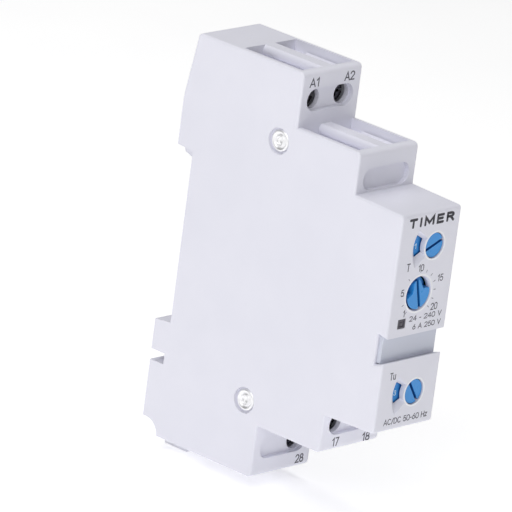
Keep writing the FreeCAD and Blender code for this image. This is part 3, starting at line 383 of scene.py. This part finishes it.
def ribbon(chain, half, y, thick, vs, fs):
    """One stroke as a flat raised ribbon with rounded ends and mitred bends."""
    pts = clean_chain(chain)
    if len(pts) < 2:
        return
    closed = (pts[0] - pts[-1]).length < half * 0.5 and len(pts) > 4
    if closed:
        pts = pts[:-1]
    n = len(pts)
    rows = []
    if not closed:
        d = (pts[0] - pts[1]).normalized()
        s = Vector((-d.y, d.x))
        rows.append((pts[0] + d * half * 0.95 - s * half * 0.35, pts[0] + d * half * 0.95 + s * half * 0.35))
        rows.append((pts[0] + d * half * 0.55 - s * half * 0.84, pts[0] + d * half * 0.55 + s * half * 0.84))
    for i in range(n):
        before = pts[i] - pts[i - 1] if (closed or i > 0) else pts[1] - pts[0]
        after = pts[(i + 1) % n] - pts[i] if (closed or i < n - 1) else before
        before, after = before.normalized(), after.normalized()
        t = before + after
        t = t.normalized() if t.length > 0.2 else after
        side = Vector((-t.y, t.x))
        k = max(0.42, abs(side.dot(Vector((-before.y, before.x)))))
        w = half / k
        rows.append((pts[i] + side * w, pts[i] - side * w))
    if not closed:
        d = (pts[-1] - pts[-2]).normalized()
        s = Vector((-d.y, d.x))
        rows.append((pts[-1] + d * half * 0.55 + s * half * 0.84, pts[-1] + d * half * 0.55 - s * half * 0.84))
        rows.append((pts[-1] + d * half * 0.95 + s * half * 0.35, pts[-1] + d * half * 0.95 - s * half * 0.35))
    base = len(vs)
    for l, r in rows:
        vs += [(l.x, y - thick, l.y), (r.x, y - thick, r.y), (r.x, y + 0.004 * MM, r.y), (l.x, y + 0.004 * MM, l.y)]
    m = len(rows)
    for i in range(m if closed else m - 1):
        a, b = base + 4 * i, base + 4 * ((i + 1) % m)
        for k in range(4):
            fs.append([a + k, b + k, b + (k + 1) % 4, a + (k + 1) % 4])
    if not closed:
        fs.append([base + k for k in range(4)])
        fs.append([base + 4 * (m - 1) + k for k in reversed(range(4))])


def word(name, text, x, z, height, y, width=None, ink=None, body="housing",
         weight=0.13, turn=0.0, thick=0.012 * MM, slant=0.0, gap=0.2):
    """Printed characters centred at (x, z) millimetres on a front face at y metres.
    weight is the stroke width as a part of the height."""
    chains, at = [], 0.0
    for ch in text:
        wide, strokes = GLYPHS[ch]
        for st in strokes:
            chains.append([(at + px, pz) for px, pz in st])
        at += wide + gap
    wide = at - gap
    half = height * weight / 2
    sy = (height - 2 * half)
    sx = sy if width is None else (width - 2 * half) / wide
    ca, sa = math.cos(turn), math.sin(turn)
    vs, fs = [], []
    for j, chain in enumerate(chains):
        pts = []
        for px, pz in chain:
            a, b = (px - wide / 2) * sx, (pz - 0.5) * sy
            a += slant * b
            pts.append(Vector(((x + a * ca - b * sa) * MM, (z + a * sa + b * ca) * MM)))
        ribbon(pts, half * MM, y, thick + 0.0012 * MM * (j % 4), vs, fs)
    return make(name, vs, fs, ink or INK, body)


def bars(name, quads, y, ink=None, body="housing", thick=0.012 * MM):
    """Printed strokes: each quad is four (x, z) corners in millimetres."""
    vs, fs = [], []
    for q in quads:
        i = len(vs)
        n = len(q)
        vs += [(a * MM, y - thick, b * MM) for a, b in q] + [(a * MM, y + 0.004 * MM, b * MM) for a, b in q]
        fs += [[i + k for k in range(n)], [i + n + k for k in reversed(range(n))]]
        fs += [[i + k, i + n + k, i + n + (k + 1) % n, i + (k + 1) % n] for k in range(n)]
    return make(name, vs, fs, ink or INK, body)


def stroke(x0, z0, x1, z1, w):
    d = Vector((x1 - x0, z1 - z0)).normalized() * w / 2
    n = Vector((-d.y, d.x))
    return [(x0 - n.x, z0 - n.y), (x1 - n.x, z1 - n.y), (x1 + n.x, z1 + n.y), (x0 + n.x, z0 + n.y)]


# Terminal numbers.
BLOCK_Y = -26.7 * MM
SHOULDER_Y = -44.0 * MM
word("print_a1", "A1", -5.16, 40.6, 1.95, BLOCK_Y, width=2.9, weight=0.14, gap=0.16)
word("print_a2", "A2", 5.15, 40.74, 1.95, BLOCK_Y, width=3.0, weight=0.14, gap=0.16)
word("print_28", "28", 5.7, -41.1, 1.9, BLOCK_Y, width=2.5, weight=0.14)
word("print_17", "17", -4.24, -30.0, 1.9, SHOULDER_Y, width=2.0, weight=0.14)
word("print_18", "18", 4.95, -30.4, 1.9, SHOULDER_Y, width=2.3, weight=0.14)

# Nose front.
KX, KZ = -0.87, 5.25
word("print_heading", "TIMER", 0.1, 20.5, 2.1, NOSE_Y, width=13.4, ink=INK_BLACK, weight=0.27, gap=0.42)
word("print_t", "T", -5.06, 11.26, 1.75, NOSE_Y, ink=INK, width=1.1)
for text, x, z, w in (("10", -1.15, 10.66, 1.65), ("15", 5.17, 7.70, 1.7), ("20", 4.42, 1.82, 2.0), ("5", -5.80, 6.04, 0.92), ("1", -4.46, 1.53, 0.6)):
    word("print_scale_" + text, text, x, z, 1.5, NOSE_Y, width=w, ink=INK, weight=0.13)
ticks = []
for deg in (229.5, 203.8, 178.0, 135.5, 93.0, 70.3, 47.7, 25.0, 2.3, -20.3, -43.0):
    a = math.radians(deg)
    r0, r1 = 4.45, 5.05
    ticks.append(stroke(KX + r0 * math.cos(a), KZ + r0 * math.sin(a), KX + r1 * math.cos(a), KZ + r1 * math.sin(a), 0.14))
bars("print_ticks", ticks, NOSE_Y, ink=INK_FAINT)
word("print_supply", "24 - 240 V", 2.2, 0.1, 1.15, NOSE_Y, width=9.6, ink=INK, weight=0.15)
word("print_load", "6 A 250 V", 2.9, -1.75, 1.15, NOSE_Y, width=8.4, ink=INK, weight=0.15)
word("print_tu", "Tu", -5.13, -11.53, 1.6, NOSE_Y, ink=INK, width=1.8)
word("print_footer", "AC/DC 50-60 Hz", 0.5, -21.3, 1.3, NOSE_Y, width=13.0, ink=INK, weight=0.14)


# Scale marks on the two printed discs, read through the sector windows.
DISC_Y = -55.7 * MM
for body, cz, items in (("time_range_selector", 14.9, ("1", "10", "2", "20", "5", "50")),
                        ("transfer_time_selector", -15.95, ("3", "30", "6", "60", "9", "90"))):
    for i, text in enumerate(items):
        a = math.radians(181 + 60 * i)
        word("print_%s_%d" % (body, i), text, 2.05 + 4.1 * math.cos(a), cz + 4.1 * math.sin(a), 1.15, DISC_Y,
             width=0.5 * len(text) + 0.25, ink=INK_LIGHT, body=body, weight=0.16, turn=a - math.pi)
    fine = []
    for i in range(36):
        a = math.radians(181 + 10 * i)
        r0, r1 = (4.82, 5.1) if i % 2 else (4.72, 5.1)
        fine.append(stroke(2.05 + r0 * math.cos(a), cz + r0 * math.sin(a), 2.05 + r1 * math.cos(a), cz + r1 * math.sin(a), 0.09))
    bars("print_%s_marks" % body, fine, DISC_Y, ink=INK_LIGHT, body=body)


# Rivets: a rolled eyelet head in each sink, turned from one profile.
def lathe(name, cx, cy, cz, rows, sign, steps=72):
    """rows are (radius, height out of the side) in millimetres; the axis is X."""
    vs, fs = [], []
    for r, h in rows:
        for i in range(steps):
            a = 2 * math.pi * i / steps
            wob = 1 + 0.006 * math.sin(3 * a + 0.7) if 0.9 < r < 2.0 else 1
            vs.append((cx + sign * h * MM, cy + r * wob * MM * math.cos(a), cz + r * wob * MM * math.sin(a)))
    for j in range(len(rows) - 1):
        for i in range(steps):
            k = (i + 1) % steps
            fs.append([j * steps + i, j * steps + k, (j + 1) * steps + k, (j + 1) * steps + i])
    n = len(vs)
    vs += [(cx + sign * rows[0][1] * MM, cy, cz), (cx + sign * rows[-1][1] * MM, cy, cz)]
    last = (len(rows) - 1) * steps
    for i in range(steps):
        k = (i + 1) % steps
        fs.append([n, k, i])
        fs.append([n + 1, last + i, last + k])
    return vs, fs


def smooth_rows(points, cuts=5):
    """Rounds a profile with Catmull-Rom segments."""
    out = []
    for i in range(len(points) - 1):
        p0, p1, p2, p3 = [Vector(points[max(0, min(len(points) - 1, i + d))]) for d in (-1, 0, 1, 2)]
        for c in range(cuts):
            t = c / cuts
            out.append(tuple(0.5 * ((2 * p1) + (p2 - p0) * t + (2 * p0 - 5 * p1 + 4 * p2 - p3) * t * t
                                    + (3 * p1 - p0 - 3 * p2 + p3) * t ** 3)))
    out.append(tuple(points[-1]))
    return out


for node in ("rivet_upper", "rivet_lower"):
    lo, hi = [Vector(v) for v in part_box(node)]
    mid = (lo + hi) / 2
    head = (hi.y - lo.y) / 2 / MM
    half = (hi.x - lo.x) / 2 / MM
    # from the middle of the left dish over the rolled head and shank to the right dish
    front = smooth_rows([(0.30, -0.62), (0.62, -0.50), (0.80, -0.16), (0.95, -0.03), (1.12, -0.08), (1.26, -0.27), (1.42, -0.30),
                         (1.60, -0.12), (1.85, -0.02), (2.12, -0.08), (head, -0.30)])
    rows = [(r, half + h) for r, h in front]
    rows += [(head - 0.02, half - 0.46), (1.50, half - 0.50)]
    back = [(r, -h) for r, h in reversed(rows)]
    vs, fs = lathe(node + "_eyelet", mid.x, mid.y, mid.z, rows + back, -1)
    eyelet = make(node + "_eyelet", vs, fs, MAT["rivet_metal"], "housing", smooth=50)
    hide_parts(node)


# Lamp window: dark frame with a sunk pane and a small lens boss in its middle.
def window_piece():
    lo, hi = [Vector(v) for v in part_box("led_window")]
    y0, y1 = lo.y, hi.y
    cx, cz = (-4.775 * MM), (-0.56 * MM)

    def ring(half_x, half_z, y, cut, n=3):
        pts = []
        for sx, sz in ((1, 1), (-1, 1), (-1, -1), (1, -1)):
            ax, az = cx + sx * (half_x - cut), cz + sz * (half_z - cut)
            start = {(1, 1): 0, (-1, 1): 90, (-1, -1): 180, (1, -1): 270}[(sx, sz)]
            for i in range(n + 1):
                a = math.radians(start + 90 * i / n)
                pts.append((ax + cut * math.cos(a), y, az + cut * math.sin(a)))
        return pts

    mm = MM
    loops = [ring(1.125 * mm, 0.96 * mm, y1 - 0.5 * mm, 0.12 * mm),
             ring(1.125 * mm, 0.96 * mm, y0 + 0.05 * mm, 0.12 * mm),
             ring(1.07 * mm, 0.905 * mm, y0, 0.10 * mm),
             ring(0.78 * mm, 0.62 * mm, y0, 0.06 * mm),
             ring(0.72 * mm, 0.56 * mm, y0 + 0.16 * mm, 0.06 * mm),
             ring(0.42 * mm, 0.36 * mm, y0 + 0.16 * mm, 0.20 * mm),
             ring(0.36 * mm, 0.30 * mm, y0 + 0.08 * mm, 0.20 * mm),
             ring(0.20 * mm, 0.17 * mm, y0 + 0.05 * mm, 0.14 * mm)]
    vs, fs = [], []
    n = len(loops[0])
    for l in loops:
        vs += l
    for j in range(len(loops) - 1):
        for i in range(n):
            k = (i + 1) % n
            fs.append([j * n + i, j * n + k, (j + 1) * n + k, (j + 1) * n + i])
    fs.append([(len(loops) - 1) * n + i for i in range(n)])
    fs.append([i for i in reversed(range(n))])
    flange = [ring(1.725 * mm, 1.525 * mm, y1 - 0.48 * mm, 0.15 * mm), ring(1.725 * mm, 1.525 * mm, y1, 0.15 * mm)]
    b = len(vs)
    for l in flange:
        vs += l
    for i in range(n):
        k = (i + 1) % n
        fs.append([b + i, b + k, b + n + k, b + n + i])
    fs.append([b + i for i in reversed(range(n))])
    fs.append([b + n + i for i in range(n)])
    return vs, fs


vs, fs = window_piece()
lens = make("lamp_window_lens", vs, fs, MAT["lamp_lens"], "housing", smooth=30)
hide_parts("led_window")


# Rings round the dials: the moulding rises to a thin bead at each hole, coloured whiter than the housing as a painted
# highlight of the lit rim.
def bead(name, cx, cz, r_in, r_out, y, high=0.02 * MM, steps=96):
    prof = [(r_in, 0.02 * MM), (r_in, -high * 0.6), (r_in + 0.3 * (r_out - r_in), -high), (r_in + 0.7 * (r_out - r_in), -high), (r_out, 0.004 * MM)]
    vs, fs = [], []
    for r, h in prof:
        for i in range(steps):
            a = 2 * math.pi * i / steps
            vs.append((cx + r * math.cos(a), y + h, cz + r * math.sin(a)))
    m = len(prof)
    for j in range(m):
        for i in range(steps):
            k = (i + 1) % steps
            j2 = (j + 1) % m
            fs.append([j * steps + i, j * steps + k, j2 * steps + k, j2 * steps + i])
    return make(name, vs, fs, RING_PAINTED_HIGHLIGHT, "housing", smooth=40)


# The bead material is whiter than the housing: a painted highlight round each dial hole.
RING_PAINTED_HIGHLIGHT = moulded("ring_painted_highlight", (0.93, 0.93, 0.97), rough=0.35, grain_mm=0.2, drift=0.3)
for nm, cx, cz, r in (("ring_range", 2.05, 14.9, 2.72), ("ring_transfer", 2.05, -15.95, 2.72), ("ring_knob", -0.87, 5.25, 3.68)):
    bead(nm, cx * MM, cz * MM, (r + 0.03) * MM, (r + 0.40) * MM, NOSE_Y)


# ------------------------------------------------------------------- stage
floor_z = cad_lo.z - 0.0004


def floor():
    n = 48
    vs, fs = [], []
    for j in range(n + 1):
        for i in range(n + 1):
            vs.append((-6 + 12 * i / n, -6 + 12 * j / n, floor_z))
    for j in range(n):
        for i in range(n):
            a = j * (n + 1) + i
            fs.append([a, a + 1, a + n + 2, a + n + 1])
    me = bpy.data.meshes.new("floor")
    me.from_pydata(vs, [], fs)
    o = bpy.data.objects.new("floor", me)
    bpy.context.scene.collection.objects.link(o)
    m, nt, p = new_material("floor_paper")
    v = coords(nt, 0.01)
    n1 = noise(nt, v, 3.0, 3.0)
    col = mix(nt, remap(nt, n1, 0.3, 0.7, 0, 1), (0.93, 0.93, 0.935), (0.95, 0.95, 0.95))
    nt.links.new(col, p.inputs["Base Color"])
    p.inputs["Roughness"].default_value = 0.75
    p.inputs["Specular IOR Level"].default_value = 0.1
    p.inputs["Emission Color"].default_value = (1, 1, 1, 1)
    p.inputs["Emission Strength"].default_value = 0.40
    me.materials.append(m)
    return o


floor()

world = bpy.data.worlds.new("studio")
world.use_nodes = True
bg = world.node_tree.nodes["Background"]
bg.inputs["Color"].default_value = (1.0, 1.0, 1.0, 1)
bg.inputs["Strength"].default_value = 0.20
bpy.context.scene.world = world


def area(name, where, aim, size, power, colour=(1, 1, 1)):
    d = bpy.data.lights.new(name, "AREA")
    d.shape = "RECTANGLE"
    d.size, d.size_y = size
    d.energy = power
    d.color = colour
    o = bpy.data.objects.new(name, d)
    o.location = where
    o.rotation_mode = "QUATERNION"
    o.rotation_quaternion = (Vector(aim) - Vector(where)).to_track_quat("-Z", "Y")
    bpy.context.scene.collection.objects.link(o)
    return o


aim = (0, -0.025, 0)
area("key_front", (-0.55, -0.45, 0.35), aim, (0.55, 0.5), 1.05)
area("key_high", (-0.50, -0.12, 0.50), aim, (0.55, 0.5), 1.55)
area("fill_front", (0.25, -0.75, 0.35), aim, (0.7, 0.6), 0.1)
area("top_soft", (0.05, 0.10, 0.75), aim, (0.6, 0.6), 2.6)

cam_data = bpy.data.cameras.new("camera")
cam_data.sensor_width = 36.0
cam_data.sensor_fit = "HORIZONTAL"
cam_data.lens = 468.1025
cam_data.clip_start, cam_data.clip_end = 0.05, 30.0
cam = bpy.data.objects.new("camera", cam_data)
cam.rotation_mode = "QUATERNION"
cam.location = (-0.967773, -0.855387, 0.411088)
rows = ((0.6813884, 0.1416005, -0.7180941), (-0.7209649, 0.2989787, -0.6251571), (0.1261723, 0.9436954, 0.3058096))
cam.rotation_quaternion = Matrix(rows).to_quaternion()
bpy.context.scene.collection.objects.link(cam)
bpy.context.scene.camera = cam

sc = bpy.context.scene
sc.view_settings.view_transform = "Standard"
sc.view_settings.look = "None"
sc.view_settings.exposure = 0.0
sc.view_settings.gamma = 1.0
